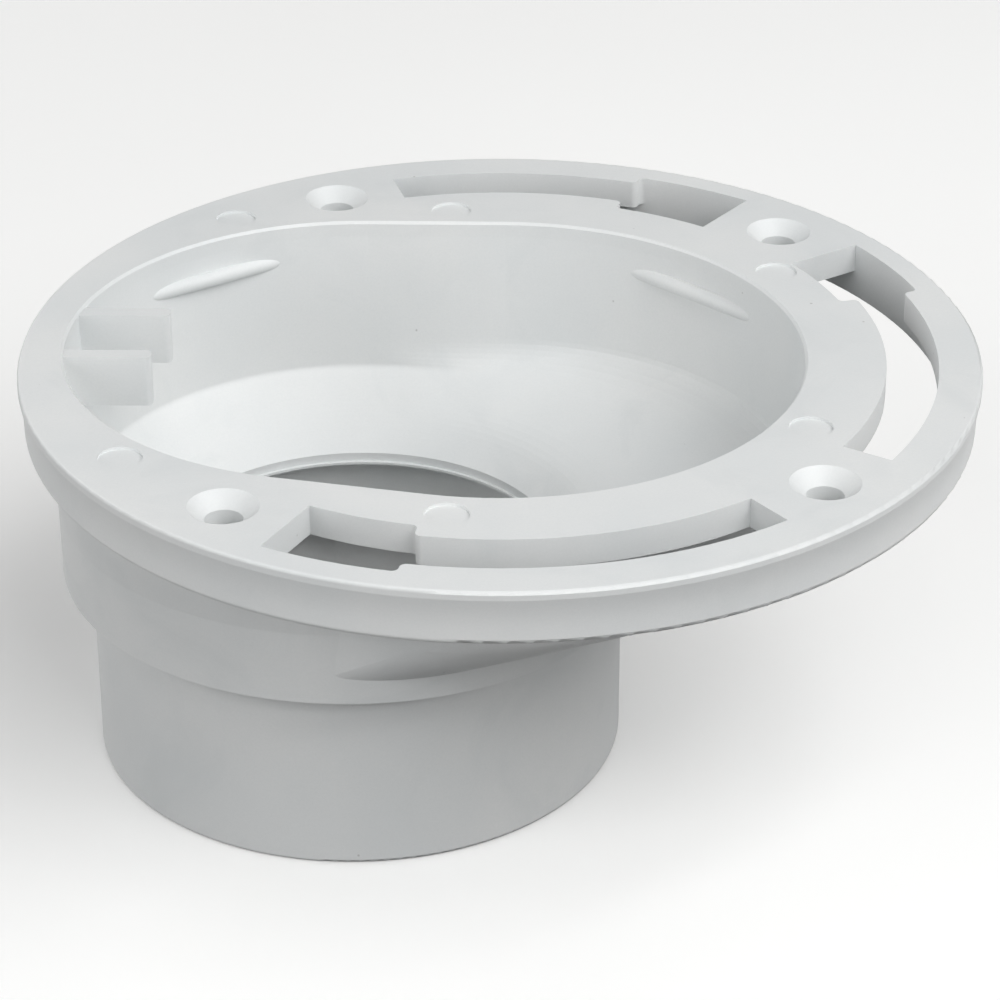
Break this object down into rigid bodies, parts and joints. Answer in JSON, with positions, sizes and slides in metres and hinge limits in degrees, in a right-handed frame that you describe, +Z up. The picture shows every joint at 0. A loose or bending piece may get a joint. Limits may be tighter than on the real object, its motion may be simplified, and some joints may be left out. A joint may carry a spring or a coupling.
{
  "type": "offset closet flange",
  "caption": "Offset closet flange: a slotted bolt ring over an offset bowl with a short pipe hub, in solvent-welded white PVC.",
  "frame": {"origin": "on the closet ring's axis, level with the bottom end of the pipe hub", "axes": "+Z up, out of the ring's top face towards the toilet; -X from the ring's axis to the hub's axis; +Y by the right-hand rule"},
  "size_m": [0.178, 0.178, 0.0825],
  "materials": {
    "white_pvc": "satin moulded PVC"
  },
  "bodies": {
    "root": {"flange_ring": "white_pvc", "offset_bowl": "white_pvc", "pipe_hub": "white_pvc"}
  },
  "joints": []
}
